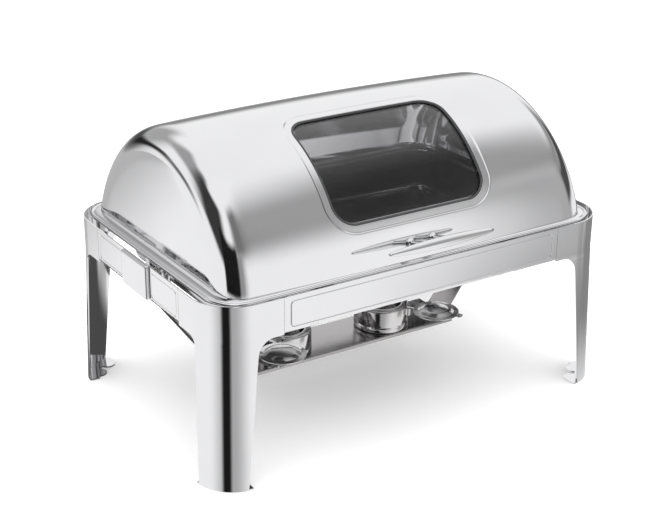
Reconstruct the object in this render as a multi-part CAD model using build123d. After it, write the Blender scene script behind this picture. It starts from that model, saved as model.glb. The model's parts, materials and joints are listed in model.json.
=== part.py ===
from build123d import *
import math
import os

# Roll top chafer: a hinged half-barrel lid with a window over a water pan and a food pan,
# on a sheet-metal stand with four legs and a burner shelf underneath.
# Millimetres.  +X runs along the length, -Y is the front, +Z is up and the feet stand on z = 0.
# The model is drawn about the stand's plan centre and moved by PLAN_SHIFT when it is written,
# so that the origin is the middle of the whole object's footprint box.

# ---- Stand -------------------------------------------------------------------------------
FRAME_LENGTH = 640.0
FRAME_WIDTH = 428.0
FRAME_TOP = 255.4
BAND_BOTTOM = 205.0
FRAME_CORNER = 60.0
SHEET = 1.5
SPLAY = 5.9                 # how far each leg leans out, in X and in Y, at the floor
FRONT_SEAM_X = 222.0        # where the long aprons meet the legs
SIDE_SEAM_Y = 120.0         # where the end aprons meet the legs
FRONT_ARCH = (278.0, 257.5, 24.0)   # half opening at the floor, at the band, and its corner radius
SIDE_ARCH = (171.0, 161.0, 13.0)
FOOT_PLATE = 2.0
HEM_BEND = 6.0
SEAM_GAP = 0.4

# ---- Lid ---------------------------------------------------------------------------------
BARREL_Z = 218.0            # height of the barrel's own centre line
BARREL_MID_RADIUS = 205.5
BARREL_END_RADIUS = 199.0
LID_HALF_LENGTH = 293.0
LID_END_FILLET = 28.0
LID_END_LEAN = 0.07         # how far each end leans in for every unit of height
LID_SHEET = 1.0
LID_MOUTH = 257.0
RIM_HALF_X = 307.0
RIM_HALF_Y = 208.0
RIM_CORNER = 45.0
RIM_DROP = 6.0
PIVOT_Z = 224.0
WINDOW_MID_ANGLE = 52.5     # above the horizontal, seen from the barrel's centre line
WINDOW_LENGTH = 242.0
WINDOW_HEIGHT = 171.0
WINDOW_CORNER = 32.0
GASKET = 2.0
GLASS = 4.0
HANDLE_Y = -240.0
HANDLE_Z = 291.0
HANDLE_HALF_LENGTH = 84.0
HANDLE_RADIUS = 8.5
HANDLE_TIP_RADIUS = 4.0
POST_X = 18.0
POST_RADIUS = 4.5

# ---- Pans --------------------------------------------------------------------------------
PAN_RIM_Z = 266.0
WATER_RIM = (560.0, 344.0, 30.0)
WATER_BODY = (524.0, 314.0, 40.0)
WATER_DEPTH = 73.0
FOOD_RIM = (530.0, 325.0, 28.0)     # a full size gastronorm pan
FOOD_BODY = (505.0, 300.0, 34.0)
FOOD_DEPTH = 65.0
PAN_SHEET = 1.2

# ---- Cradle, pivots and burner shelf -----------------------------------------------------
CRADLE_HALF_X = 281.5
CRADLE_HALF_Y = 170.0
CRADLE_SHEET = 2.5
CRADLE_BOTTOM = 236.0
STUD_RADIUS = 4.0
RUNNING_GAP = 0.05
BRACKET_X = 150.0
REST_GAP = 0.3
SHELF_Z = 50.5
SHELF_HALF_X = 190.0
SHELF_FRONT = -28.0
SHELF_BACK = 58.0
BURNER_X = 86.0
BURNER_Y = 14.0
CUP_RADIUS = 31.0
CUP_TOP = 89.2
HOLDER_RADIUS = 41.0
HOLDER_TOP = 88.0
LID_PIN_REACH = 44.2
LID_PIN_TURN = -58.0
BURNER_LID_SWING = 180.0
HANGER_HALF_WIDTH = 22.0

os.makedirs("parts", exist_ok=True)


def save(name, *solids):
    """Write one node, moved from the stand's centre to the object's own origin."""
    shape = Compound(children=[s for group in solids for s in Part(group.wrapped).solids()])
    export_step(Pos(0, PLAN_SHIFT, 0) * shape, f"parts/{name}.step")


def box(x0, x1, y0, y1, z0, z1):
    """A block between two corners."""
    return Pos((x0 + x1) / 2, (y0 + y1) / 2, (z0 + z1) / 2) * Box(x1 - x0, y1 - y0, z1 - z0)


def rod_x(radius, x0, x1, y, z):
    """A round bar along X."""
    return Pos((x0 + x1) / 2, y, z) * Rot(0, 90, 0) * Cylinder(radius, abs(x1 - x0))


def rod_y(radius, x, y0, y1, z):
    """A round bar along Y."""
    return Pos(x, (y0 + y1) / 2, z) * Rot(90, 0, 0) * Cylinder(radius, abs(y1 - y0))


def rod_z(radius, x, y, z0, z1):
    """A round bar along Z."""
    return Pos(x, y, (z0 + z1) / 2) * Cylinder(radius, z1 - z0)


def slab(size, z0, z1):
    """A rounded rectangular slab from (length, width, corner radius)."""
    return extrude(Pos(0, 0, z0) * RectangleRounded(*size), z1 - z0)


def grown(size, amount):
    """The same rounded rectangle, larger all round."""
    return (size[0] + 2 * amount, size[1] + 2 * amount, size[2] + amount)


def flip_x(shape):
    """The same piece on the other end of the object."""
    return mirror(shape, about=Plane.YZ)


def flip_y(shape):
    """The same piece on the other side, front to back."""
    return mirror(shape, about=Plane.XZ)


def groove(width, height, depth, corner):
    """A pressed line round a rectangle, standing in the XZ plane and cut towards +Y."""
    line = 2.4
    ring = RectangleRounded(width, height, corner)
    ring -= RectangleRounded(width - 2 * line, height - 2 * line, corner - line)
    return extrude(Plane.XZ * ring, -depth)


# ---- Legs --------------------------------------------------------------------------------
def arch(foot_half, band_half, corner):
    """The opening between two legs, as a face in its own X and Z."""
    outline = Polyline(
        (-foot_half, 0), (-band_half, BAND_BOTTOM), (band_half, BAND_BOTTOM), (foot_half, 0), close=True
    )
    face = make_face(outline)
    return fillet(face.vertices().sort_by(Axis.Y)[-2:], corner)


def make_leg():
    """The rear right leg: a bent sheet that leans out, with two flaps turned in as its foot."""
    outer = RectangleRounded(FRAME_LENGTH, FRAME_WIDTH, FRAME_CORNER)
    inner = RectangleRounded(
        FRAME_LENGTH - 2 * SHEET, FRAME_WIDTH - 2 * SHEET, FRAME_CORNER - SHEET
    )
    reach = 200.0
    quarter = Pos(FRONT_SEAM_X + reach / 2, SIDE_SEAM_Y + reach / 2) * Rectangle(reach, reach)
    strip = (outer - inner) & quarter
    band = extrude(Pos(0, 0, BAND_BOTTOM) * strip, FRAME_TOP - BAND_BOTTOM)
    lean = Vector(SPLAY, SPLAY, -BAND_BOTTOM)
    sheet = extrude(Pos(0, 0, BAND_BOTTOM) * strip, lean.length, dir=lean)
    front_opening = extrude(Plane.XZ * arch(*FRONT_ARCH), 300, both=True)
    side_opening = extrude(Plane.YZ * arch(*SIDE_ARCH), 400, both=True)
    sheet -= front_opening
    sheet -= side_opening

    # The foot follows the sheet round the corner, with one rounded flap from each flat side.
    middle = (FRAME_LENGTH / 2 - FRAME_CORNER + SPLAY, FRAME_WIDTH / 2 - FRAME_CORNER + SPLAY)
    web = Circle(FRAME_CORNER - 0.5) - Circle(FRAME_CORNER - 15)
    web = Pos(*middle) * web & Pos(278 + 40, SIDE_ARCH[0] + 40) * Rectangle(80, 80)
    outline = Pos(SPLAY, SPLAY) * RectangleRounded(
        FRAME_LENGTH - 1, FRAME_WIDTH - 1, FRAME_CORNER - 0.5
    )
    end_flap = Pos(315, 181) * SlotOverall(44, 23)
    long_flap = Pos(281.5, 212) * Rot(0, 0, 90) * SlotOverall(44, 21)
    foot = (web + end_flap + long_flap) & outline
    return band + sheet + extrude(foot, FOOT_PLATE)


leg = make_leg()
handle_front = HANDLE_RADIUS - HANDLE_Y
foot_back = leg.bounding_box().max.Y
PLAN_SHIFT = round((handle_front - foot_back) / 2, 2)
save("leg_rear_right", leg)
save("leg_rear_left", flip_x(leg))
save("leg_front_right", flip_y(leg))
save("leg_front_left", flip_x(flip_y(leg)))


# ---- Aprons ------------------------------------------------------------------------------
def hemmed_apron(half_length, face, hem, panels):
    """A sheet that faces -Y at y = -face, turned in along its bottom edge.

    Each panel is (middle, width) of one pressed rectangle.
    """
    profile = Pos(-face + SHEET / 2, (FRAME_TOP + BAND_BOTTOM) / 2) * Rectangle(
        SHEET, FRAME_TOP - BAND_BOTTOM
    )
    if hem:
        profile += Pos(-face + hem / 2, BAND_BOTTOM + SHEET / 2) * Rectangle(hem, SHEET)
        profile = fillet(profile.vertices().sort_by_distance((-face, BAND_BOTTOM))[0], HEM_BEND)
        inside = profile.vertices().sort_by_distance((-face + SHEET, BAND_BOTTOM + SHEET))[0]
        profile = fillet(inside, HEM_BEND - SHEET)
    sheet = extrude(Plane.YZ * profile, half_length, both=True)
    middle_z = (212.0 + 249.5) / 2
    for middle, width in panels:
        cut = groove(width, 249.5 - 212.0, 0.7, 7.0)
        sheet -= Pos(middle, -face, middle_z) * cut
    return sheet


long_panel = [(0, 2 * (FRONT_SEAM_X - 9))]
front_apron = hemmed_apron(FRONT_SEAM_X - SEAM_GAP, FRAME_WIDTH / 2, 16.0, long_panel)
rear_apron = Rot(0, 0, 180) * hemmed_apron(FRONT_SEAM_X - SEAM_GAP, FRAME_WIDTH / 2, 0, long_panel)
save("front_apron", front_apron)
save("rear_apron", rear_apron)

BAND_HALF = 37.0
BAND_PROUD = 5.0
panel_width = SIDE_SEAM_Y - BAND_HALF - 10
panel_middle = (SIDE_SEAM_Y + BAND_HALF) / 2
end_panels = [(panel_middle, panel_width), (-panel_middle, panel_width)]
end_apron = hemmed_apron(SIDE_SEAM_Y - SEAM_GAP, FRAME_LENGTH / 2, 9.0, end_panels)
right_apron = Rot(0, 0, 90) * end_apron
save("end_apron_right", right_apron)
save("end_apron_left", flip_x(right_apron))


def make_hinge_band():
    """A shallow pressed cover over the right pivot, standing proud of the end apron."""
    face_x = FRAME_LENGTH / 2
    cover = box(face_x, face_x + BAND_PROUD, -BAND_HALF, BAND_HALF, 207, FRAME_TOP - 0.4)
    cover = fillet(cover.edges().group_by(Axis.X)[-1], 2.5)
    hollow = box(
        face_x - 1, face_x + BAND_PROUD - SHEET, -BAND_HALF + SHEET, BAND_HALF - SHEET,
        207 + SHEET, FRAME_TOP - 0.4 - SHEET,
    )
    return cover - hollow


hinge_band = make_hinge_band()
save("hinge_band_right", hinge_band)
save("hinge_band_left", flip_x(hinge_band))

# ---- Splice plates behind the seams, with welded studs and nuts ----------------------------
SPLICE = 1.5
STUD_R = 2.0
NUT_ACROSS = 7.0
NUT_THICK = 3.0


def hex_nut(across, thick, bore):
    """A hexagon nut lying on the XY plane."""
    shape = RegularPolygon(across / 2, 6, major_radius=False) - Circle(bore)
    return extrude(shape, thick)


def splice(turn, seam, face):
    """The plate, studs and nuts behind one seam; turn brings the face to point along -Y."""
    inner_face = -face + SHEET
    plate = box(seam - 15, seam + 15, inner_face, inner_face + SPLICE, 222, 250)
    studs = []
    nuts = []
    for step in (-9, 9):
        for z in (228, 244):
            stud = rod_y(STUD_R, seam + step, inner_face, inner_face + 7, z)
            plate -= stud
            nut = Pos(seam + step, inner_face + SPLICE, z) * Rot(-90, 0, 0)
            nuts.append(turn * nut * hex_nut(NUT_ACROSS, NUT_THICK, STUD_R))
            studs.append(turn * stud)
    return turn * plate, studs, nuts


splice_plates = []
frame_studs = []
frame_nuts = []
for turn_angle, seam_at, face_at in (
    (0, FRONT_SEAM_X, FRAME_WIDTH / 2),
    (90, SIDE_SEAM_Y, FRAME_LENGTH / 2),
    (-90, SIDE_SEAM_Y, FRAME_LENGTH / 2),
):
    for hand in (-1, 1):
        plate, studs, nuts = splice(Rot(0, 0, turn_angle), hand * seam_at, face_at)
        splice_plates.append(plate)
        frame_studs += studs
        frame_nuts += nuts
save("splice_plates", *splice_plates)
save("splice_studs", *frame_studs)
save("splice_nuts", *frame_nuts)

# The rear seams lie close to the path of the opening lid, so they have flat welded straps.
rear_straps = [
    box(
        hand * FRONT_SEAM_X - 12, hand * FRONT_SEAM_X + 12,
        FRAME_WIDTH / 2, FRAME_WIDTH / 2 + SHEET, 212, 250
    )
    for hand in (-1, 1)
]
save("rear_seam_straps", *rear_straps)


# ---- Lid ---------------------------------------------------------------------------------
def barrel(inset):
    """The barrel turned about its centre line, its two flat ends leaning in and rounded off."""
    half = LID_HALF_LENGTH + 30
    middle = BARREL_MID_RADIUS - inset
    end = middle - (BARREL_MID_RADIUS - BARREL_END_RADIUS) * (half / LID_HALF_LENGTH) ** 2
    crown = ThreePointArc((-half, end), (0, middle), (half, end))
    sides = Polyline((half, end), (half, 0), (-half, 0), (-half, end))
    whole = Pos(0, 0, BARREL_Z) * revolve(Plane.XZ * make_face(crown + sides), Axis.X, 360)
    foot = LID_HALF_LENGTH - inset + LID_END_LEAN * LID_MOUTH
    top = foot - LID_END_LEAN * 500
    between = make_face(Polyline((-foot, 0), (foot, 0), (top, 500), (-top, 500), close=True))
    whole &= extrude(Plane.XZ * between, 400, both=True)
    corners = [edge for edge in whole.edges() if abs(edge.center().X) > 200]
    return fillet(corners, LID_END_FILLET - inset)


def above_mouth(shape, z=LID_MOUTH):
    """The part of a shape above the lid's mouth."""
    return shape & box(-400, 400, -400, 400, z, 600)


def window_prism(grow):
    """A rounded window cutter along the radial direction of the window's middle."""
    size = (WINDOW_LENGTH + 2 * grow, WINDOW_HEIGHT + 2 * grow, WINDOW_CORNER + grow)
    angle = math.radians(WINDOW_MID_ANGLE)
    plane = Plane(
        origin=(0, 0, BARREL_Z),
        x_dir=(1, 0, 0),
        z_dir=(0, -math.cos(angle), math.sin(angle)),
    )
    return extrude(plane * Pos(0, 0, 80) * RectangleRounded(*size), 260)


def radial(angle, x=0.0):
    """A location on the barrel's centre line whose Z looks out at an angle above the front."""
    return Pos(x, 0, BARREL_Z) * Rot(90 - angle, 0, 0)


outer_skin = barrel(0)
inner_skin = barrel(LID_SHEET)
gasket_skin = barrel(LID_SHEET + GASKET)
glass_skin = barrel(LID_SHEET + GASKET + GLASS)
retainer_skin = barrel(LID_SHEET + GASKET + GLASS + 1.0)
handle_angle = math.degrees(math.atan2(HANDLE_Z - BARREL_Z, -HANDLE_Y))
handle_reach = math.hypot(HANDLE_Z - BARREL_Z, HANDLE_Y)

handle_screws = []
handle_posts = []
SCREW_RADIUS = 2.5
for x in (-POST_X, POST_X):
    at = radial(handle_angle, x)
    shaft = at * Pos(0, 0, 196) * Cylinder(SCREW_RADIUS, 40, align=(Align.CENTER, Align.CENTER, Align.MIN))
    head = at * Pos(0, 0, 190) * Cylinder(5, 30, align=(Align.CENTER, Align.CENTER, Align.MIN))
    head = (head & inner_skin) - barrel(LID_SHEET + 3.0)
    handle_screws.append(head + (shaft - barrel(LID_SHEET + 1.5)))
    neck = at * Pos(0, 0, 195) * Cylinder(
        POST_RADIUS, handle_reach - 195 - 4, align=(Align.CENTER, Align.CENTER, Align.MIN)
    )
    foot = at * Pos(0, 0, 195) * Cylinder(8, 15, align=(Align.CENTER, Align.CENTER, Align.MIN))
    handle_posts.append((neck + foot) - outer_skin - shaft)

lid_shell = above_mouth(outer_skin - inner_skin) - window_prism(0)
for x in (-POST_X, POST_X):
    lid_shell -= radial(handle_angle, x) * Pos(0, 0, 200) * Cylinder(SCREW_RADIUS, 40)
save("lid_shell", lid_shell)

rim = slab((2 * RIM_HALF_X, 2 * RIM_HALF_Y, RIM_CORNER), LID_MOUTH - RIM_DROP, LID_MOUTH)
rim -= slab(
    (2 * RIM_HALF_X - 3, 2 * RIM_HALF_Y - 3, RIM_CORNER - 1.5), LID_MOUTH - RIM_DROP - 1, LID_MOUTH - 1.5
)
rim -= inner_skin
save("lid_rim_frame", rim)

gasket = (inner_skin - gasket_skin) & (window_prism(12) - window_prism(-3))
save("window_gasket", gasket)
glass = (gasket_skin - glass_skin) & window_prism(10)
save("window_glass", glass)
retainer = (inner_skin - retainer_skin) & (window_prism(20) - window_prism(-1))
retainer -= (inner_skin - glass_skin) & window_prism(13)
save("window_retainer", retainer)

grip_arc = ThreePointArc(
    (-HANDLE_HALF_LENGTH + 3, HANDLE_TIP_RADIUS), (0, HANDLE_RADIUS), (HANDLE_HALF_LENGTH - 3, HANDLE_TIP_RADIUS)
)
grip_ends = Polyline(
    (HANDLE_HALF_LENGTH - 3, HANDLE_TIP_RADIUS),
    (HANDLE_HALF_LENGTH, HANDLE_TIP_RADIUS - 2.5),
    (HANDLE_HALF_LENGTH, 0),
    (-HANDLE_HALF_LENGTH, 0),
    (-HANDLE_HALF_LENGTH, HANDLE_TIP_RADIUS - 2.5),
    (-HANDLE_HALF_LENGTH + 3, HANDLE_TIP_RADIUS),
)
grip = Pos(0, HANDLE_Y, HANDLE_Z) * revolve(Plane.XZ * make_face(grip_arc + grip_ends), Axis.X, 360)
for post in handle_posts:
    grip -= post
for screw in handle_screws:
    grip -= screw
save("handle_grip", grip)
save("handle_posts", *handle_posts)
save("handle_screws", *handle_screws)

# ---- Hinge ears and pivots ---------------------------------------------------------------
EAR_THICK = 2.5
EAR_HALF = 18.0
EAR_INNER = LID_HALF_LENGTH - LID_SHEET - EAR_THICK
BUSH_RADIUS = 6.5


def make_ear():
    """The right ear, welded inside the lid's end and hanging down to the pivot."""
    inside = inner_skin - barrel(LID_SHEET + EAR_THICK)
    ear = inside & box(250, 300, -EAR_HALF, EAR_HALF, LID_MOUTH - 1, LID_MOUTH + 45)
    ear += box(EAR_INNER, EAR_INNER + EAR_THICK, -EAR_HALF, EAR_HALF, PIVOT_Z, LID_MOUTH)
    ear += rod_x(EAR_HALF, EAR_INNER, EAR_INNER + EAR_THICK, 0, PIVOT_Z)
    return ear - rod_x(BUSH_RADIUS, EAR_INNER - 1, EAR_INNER + EAR_THICK + 1, 0, PIVOT_Z)


def make_bush():
    """A flanged plastic bush pressed into the right ear."""
    sleeve = rod_x(BUSH_RADIUS, EAR_INNER, EAR_INNER + EAR_THICK, 0, PIVOT_Z)
    flange = rod_x(BUSH_RADIUS + 3, EAR_INNER + EAR_THICK, EAR_INNER + EAR_THICK + 1.5, 0, PIVOT_Z)
    hole = rod_x(STUD_RADIUS + RUNNING_GAP, EAR_INNER - 1, EAR_INNER + EAR_THICK + 3, 0, PIVOT_Z)
    return sleeve + flange - hole


ear = make_ear()
bush = make_bush()
save("hinge_ear_right", ear)
save("hinge_ear_left", flip_x(ear))
save("pivot_bush_right", bush)
save("pivot_bush_left", flip_x(bush))

stud_root = FRAME_LENGTH / 2 - SHEET
stud_tip = CRADLE_HALF_X - CRADLE_SHEET - 7.5
pivot_stud = rod_x(STUD_RADIUS, stud_tip, stud_root, 0, PIVOT_Z)
pivot_stud += rod_x(12, stud_root - 3, stud_root, 0, PIVOT_Z)
spacer_inner = EAR_INNER + EAR_THICK + 1.5 + REST_GAP
spacer = rod_x(7.5, spacer_inner, stud_root - 3, 0, PIVOT_Z)
spacer -= rod_x(STUD_RADIUS, spacer_inner - 1, stud_root, 0, PIVOT_Z)
pivot_nut = Pos(CRADLE_HALF_X - CRADLE_SHEET, 0, PIVOT_Z) * Rot(0, -90, 0)
pivot_nut = pivot_nut * hex_nut(13.0, 6.0, STUD_RADIUS)
save("pivot_stud_right", pivot_stud)
save("pivot_stud_left", flip_x(pivot_stud))
save("pivot_spacers", spacer, flip_x(spacer))
save("pivot_nuts", pivot_nut, flip_x(pivot_nut))

# ---- Cradle that carries the pans --------------------------------------------------------
cradle_size = (2 * CRADLE_HALF_X, 2 * CRADLE_HALF_Y, 28.0)
cradle_top = PAN_RIM_Z - PAN_SHEET
cradle = slab(cradle_size, CRADLE_BOTTOM, cradle_top)
cradle -= slab(grown(cradle_size, -CRADLE_SHEET), CRADLE_BOTTOM - 1, cradle_top + 1)
for side in (-1, 1):
    inner_x = side * (CRADLE_HALF_X - CRADLE_SHEET)
    low_x, high_x = sorted((inner_x, side * CRADLE_HALF_X))
    cradle += box(low_x, high_x, -16, 16, PIVOT_Z, CRADLE_BOTTOM)
    cradle += rod_x(16, low_x, high_x, 0, PIVOT_Z)
    cradle -= rod_x(STUD_RADIUS, low_x - 1, high_x + 1, 0, PIVOT_Z)
save("pan_cradle", cradle)

# Each stop pin stands out from the cradle under the place where the open lid's ear comes down.
stop_z = PIVOT_Z - EAR_HALF - 4.0 - REST_GAP
stop_pin = rod_x(4.0, CRADLE_HALF_X, EAR_INNER + EAR_THICK - 1.7, 44, stop_z)
stop_arm = box(CRADLE_HALF_X - CRADLE_SHEET, CRADLE_HALF_X, 36, 52, 192, CRADLE_BOTTOM)
save("lid_stops", stop_pin + stop_arm, flip_x(stop_pin + stop_arm))

front_wall = FRAME_WIDTH / 2 - SHEET
brackets = []
pads = []
bracket_screws = []
for x in (-BRACKET_X, BRACKET_X):
    web = box(x - 15, x + 15, -front_wall, -CRADLE_HALF_Y, 238, 240)
    up = box(x - 15, x + 15, -front_wall, -front_wall + 2, 222, 240)
    down = box(x - 15, x + 15, -CRADLE_HALF_Y - 2, -CRADLE_HALF_Y, 238, 256)
    brackets.append(web + up + down)
    pads.append(box(x - 10, x + 10, -209, -200, 240, LID_MOUTH - RIM_DROP - REST_GAP))
    for step in (-8, 8):
        head = rod_y(3.2, x + step, -front_wall + 2, -front_wall + 4, 229)
        bracket_screws.append(head)
save("front_brackets", *brackets)
save("lid_rest_pads", *pads)
save("bracket_rivets", *bracket_screws)


# ---- Pans --------------------------------------------------------------------------------
def pan(rim_size, body_size, rim_top, depth, corner):
    """A pressed pan: a flat rim, upright walls and a floor with a rounded edge."""
    tub = slab(body_size, rim_top - depth, rim_top)
    tub = fillet(tub.faces().sort_by(Axis.Z)[0].edges(), corner)
    inside = slab(grown(body_size, -PAN_SHEET), rim_top - depth + PAN_SHEET, rim_top + 1)
    inside = fillet(inside.faces().sort_by(Axis.Z)[0].edges(), corner - PAN_SHEET)
    rim = slab(rim_size, rim_top - PAN_SHEET, rim_top)
    return (rim + tub) - inside


water_pan = pan(WATER_RIM, WATER_BODY, PAN_RIM_Z, WATER_DEPTH, 14.0)
save("water_pan", water_pan)
food_rim_top = PAN_RIM_Z + PAN_SHEET
food_pan = pan(FOOD_RIM, FOOD_BODY, food_rim_top, FOOD_DEPTH, 12.0)
save("food_pan", food_pan)

# ---- Burner shelf and its hangers --------------------------------------------------------
shelf = box(-SHELF_HALF_X, SHELF_HALF_X, SHELF_FRONT, SHELF_BACK, SHELF_Z, SHELF_Z + 1.5)
shelf += box(-SHELF_HALF_X, SHELF_HALF_X, SHELF_FRONT, SHELF_FRONT + 1.5, SHELF_Z - 4, SHELF_Z)
shelf += box(-SHELF_HALF_X, SHELF_HALF_X, SHELF_BACK - 1.5, SHELF_BACK, SHELF_Z - 4, SHELF_Z)
save("burner_shelf", shelf)

# One wide strap at each end, notched where it passes the pivot's nut.
HANGER_SHEET = 2.5
hanger_x = CRADLE_HALF_X - CRADLE_SHEET - HANGER_SHEET / 2
hanger_line = Polyline(
    (hanger_x, 262),
    (hanger_x, 164),
    (SHELF_HALF_X + 3, SHELF_Z - HANGER_SHEET / 2),
    (SHELF_HALF_X - 30, SHELF_Z - HANGER_SHEET / 2),
)
hanger_face = trace(hanger_line, HANGER_SHEET)
strap = Pos(0, BURNER_Y, 0) * extrude(Plane.XZ * hanger_face, HANGER_HALF_WIDTH, both=True)
strap -= rod_x(9.5, hanger_x - 6, hanger_x + 6, 0, PIVOT_Z)
strap -= box(hanger_x - 6, hanger_x + 6, -9.5, 0, PIVOT_Z - 9.5, PIVOT_Z + 9.5)
save("shelf_hangers", strap, flip_x(strap))
hanger_rivets = []
for y in (BURNER_Y - 12, BURNER_Y + 12):
    rivet = rod_z(3.0, SHELF_HALF_X - 18, y, SHELF_Z + 1.5, SHELF_Z + 3.3)
    top_rivet = rod_x(3.0, hanger_x - HANGER_SHEET / 2 - 1.8, hanger_x - HANGER_SHEET / 2, y, 252)
    hanger_rivets += [rivet, flip_x(rivet), top_rivet, flip_x(top_rivet)]
save("hanger_rivets", *hanger_rivets)


# ---- Burners -----------------------------------------------------------------------------
def turned(points):
    """A thin round vessel: a closed outline of (radius, height), turned about Z."""
    return revolve(Plane.XZ * make_face(Polyline(*points, close=True)), Axis.Z, 360)


FLOOR = SHELF_Z + 1.5
WALL = 1.2
LID_PIN_RADIUS = 2.0
LID_LIFT = 0.5


def make_holder():
    """The outer pot that stands on the shelf, its top turned in, with a lug for the lid's pin."""
    pot = turned([
        (0, FLOOR), (HOLDER_RADIUS, FLOOR), (HOLDER_RADIUS, HOLDER_TOP), (CUP_RADIUS + 1, HOLDER_TOP),
        (CUP_RADIUS + 1, HOLDER_TOP - WALL), (HOLDER_RADIUS - WALL, HOLDER_TOP - WALL),
        (HOLDER_RADIUS - WALL, FLOOR + WALL), (0, FLOOR + WALL),
    ])
    lug = box(HOLDER_RADIUS - 0.6, LID_PIN_REACH, -4, 4, HOLDER_TOP - 12, HOLDER_TOP - 2)
    lug += rod_z(4.0, LID_PIN_REACH, 0, HOLDER_TOP - 12, HOLDER_TOP - 2)
    lug -= Pos(0, 0, HOLDER_TOP - 7) * Cylinder(HOLDER_RADIUS - 0.6, 40)
    pot += lug
    pot -= rod_z(LID_PIN_RADIUS, LID_PIN_REACH, 0, HOLDER_TOP - 13, HOLDER_TOP)
    return Rot(0, 0, LID_PIN_TURN) * pot


def make_cup():
    """The inner cup for the fuel, hung by its flat lip from the pot's turned-in top."""
    base = FLOOR + WALL
    return turned([
        (0, base), (CUP_RADIUS - 2, base), (CUP_RADIUS, base + 3), (CUP_RADIUS, HOLDER_TOP),
        (CUP_RADIUS + 4, HOLDER_TOP), (CUP_RADIUS + 4, CUP_TOP), (CUP_RADIUS - WALL, CUP_TOP),
        (CUP_RADIUS - WALL, base + WALL + 2), (CUP_RADIUS - 3, base + WALL), (0, base + WALL),
    ])


def make_pin():
    """The upright pin in the lug, with a head that keeps the lid on."""
    head = CUP_TOP + LID_LIFT + WALL + 0.3
    pin = rod_z(LID_PIN_RADIUS, LID_PIN_REACH, 0, HOLDER_TOP - 14, head)
    pin += rod_z(3.4, LID_PIN_REACH, 0, head, head + 1.5)
    return Rot(0, 0, LID_PIN_TURN) * pin


def make_burner_lid():
    """The snuffer, drawn shut over the cup: a dished disc whose arm swings level round the pin."""
    under = CUP_TOP + LID_LIFT
    disc = turned([
        (0, under + 5), (19, under + 4), (26, under), (33.5, under), (33.5, under + WALL),
        (26.4, under + WALL), (19.4, under + 5.2), (0, under + 6.2),
    ])
    disc += box(32, LID_PIN_REACH, -5, 5, under, under + WALL)
    disc += rod_z(5.0, LID_PIN_REACH, 0, under, under + WALL)
    disc += box(-41, -32, -6, 6, under, under + WALL)
    disc -= rod_z(LID_PIN_RADIUS + RUNNING_GAP, LID_PIN_REACH, 0, under - 1, under + 3)
    return Rot(0, 0, LID_PIN_TURN) * disc


pin_turn = math.radians(LID_PIN_TURN)
pin_x = BURNER_X + LID_PIN_REACH * math.cos(pin_turn)
pin_y = BURNER_Y + LID_PIN_REACH * math.sin(pin_turn)
pin_axis = Axis((pin_x, pin_y, 0), (0, 0, 1))
holder = Pos(BURNER_X, BURNER_Y, 0) * make_holder()
cup = Pos(BURNER_X, BURNER_Y, 0) * make_cup()
pin = Pos(BURNER_X, BURNER_Y, 0) * make_pin()
snuffer = (Pos(BURNER_X, BURNER_Y, 0) * make_burner_lid()).rotate(pin_axis, -BURNER_LID_SWING)
for name, piece in (
    ("burner_holder", holder),
    ("fuel_cup", cup),
    ("burner_lid_pin", pin),
    ("burner_lid", snuffer),
):
    save(f"{name}_right", piece)
    save(f"{name}_left", flip_x(piece))
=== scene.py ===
"""Roll top chafer: the looks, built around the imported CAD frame.

The pieces are worked out in millimetres about the stand's plan centre, as the part is designed,
and every mesh is written in metres at its place in the frame.  +X runs along the length to the
right, -Y is the front, +Z is up and the feet stand on z = 0.
"""
import json
import math

import bmesh
import bpy
from mathutils import Matrix, Vector
from mathutils.geometry import delaunay_2d_cdt
from mathutils.kdtree import KDTree


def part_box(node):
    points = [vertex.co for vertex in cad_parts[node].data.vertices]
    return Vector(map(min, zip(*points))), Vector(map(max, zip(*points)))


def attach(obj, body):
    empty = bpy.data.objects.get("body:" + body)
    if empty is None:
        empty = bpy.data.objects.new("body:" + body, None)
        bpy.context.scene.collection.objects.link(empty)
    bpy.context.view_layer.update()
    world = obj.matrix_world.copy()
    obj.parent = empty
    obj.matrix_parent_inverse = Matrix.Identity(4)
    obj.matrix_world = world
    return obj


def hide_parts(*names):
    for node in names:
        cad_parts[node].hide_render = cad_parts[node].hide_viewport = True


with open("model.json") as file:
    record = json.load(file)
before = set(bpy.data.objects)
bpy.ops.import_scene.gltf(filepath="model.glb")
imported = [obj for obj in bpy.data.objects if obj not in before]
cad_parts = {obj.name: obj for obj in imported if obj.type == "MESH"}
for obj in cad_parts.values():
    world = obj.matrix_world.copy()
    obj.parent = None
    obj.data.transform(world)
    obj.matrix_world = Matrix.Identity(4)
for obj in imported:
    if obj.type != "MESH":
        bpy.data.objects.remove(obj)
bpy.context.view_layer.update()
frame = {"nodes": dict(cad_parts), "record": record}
NODES = frame["nodes"]
MM = 0.001


# ---- sizes, from the frame
def cad_box_mm(node):
    """A node's lowest and highest corners in millimetres."""
    low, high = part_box(node)
    return low / MM, high / MM


shell_low, shell_high = cad_box_mm("lid_shell")
rim_low, rim_high = cad_box_mm("lid_rim_frame")
apron_low, apron_high = cad_box_mm("front_apron")
end_high = cad_box_mm("end_apron_right")[1]
grip_low, grip_high = cad_box_mm("handle_grip")

CENTRE_Y = (rim_low.y + rim_high.y) / 2
CENTRE = Vector((0, CENTRE_Y, 0))      # the stand's plan centre

FRAME_HALF_X = end_high.x
FRAME_HALF_Y = CENTRE_Y - apron_low.y
FRAME_TOP = apron_high.z
BAND_BOTTOM = apron_low.z
FRAME_CORNER = 60.0
SPLAY = 5.9                 # how far each leg leans out at the floor, in X and in Y
FRONT_SEAM_X = 222.0
SIDE_SEAM_Y = 120.0
SHEET = 1.5

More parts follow.
